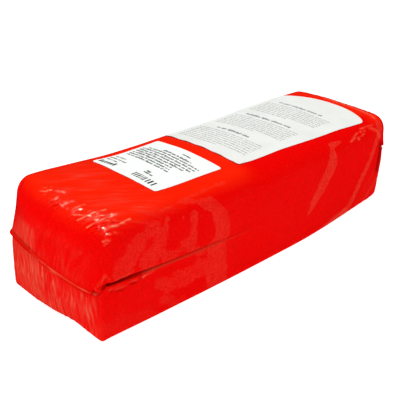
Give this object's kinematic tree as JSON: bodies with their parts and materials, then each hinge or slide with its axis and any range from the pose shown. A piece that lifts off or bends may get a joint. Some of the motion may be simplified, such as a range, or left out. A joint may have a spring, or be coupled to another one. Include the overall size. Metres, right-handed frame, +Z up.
{
  "type": "vacuum-packed cheese analogue loaf",
  "caption": "Long block of cheese analogue, shut tight in glossy red shrink film sealed across both ends, with two plain white paper labels on its top.",
  "frame": {"origin": "centre of the bounding box in plan, on the flat base", "axes": "+X along the block's length, away from the sealed end that shows; +Y to its back; +Z up"},
  "size_m": [0.3648, 0.1172, 0.0923],
  "materials": {
    "red_film": "opaque red shrink film, glossy, drawn tight over the block, gathered and pleated at the ends",
    "weight_label_paper": "coated white label paper with plain dashes and bars in place of print",
    "contents_label_paper": "coated white label paper with plain grey dashes in place of print"
  },
  "bodies": {
    "root": {"wrapped_loaf": "red_film", "weight_label": "weight_label_paper", "contents_label": "contents_label_paper"}
  },
  "joints": []
}
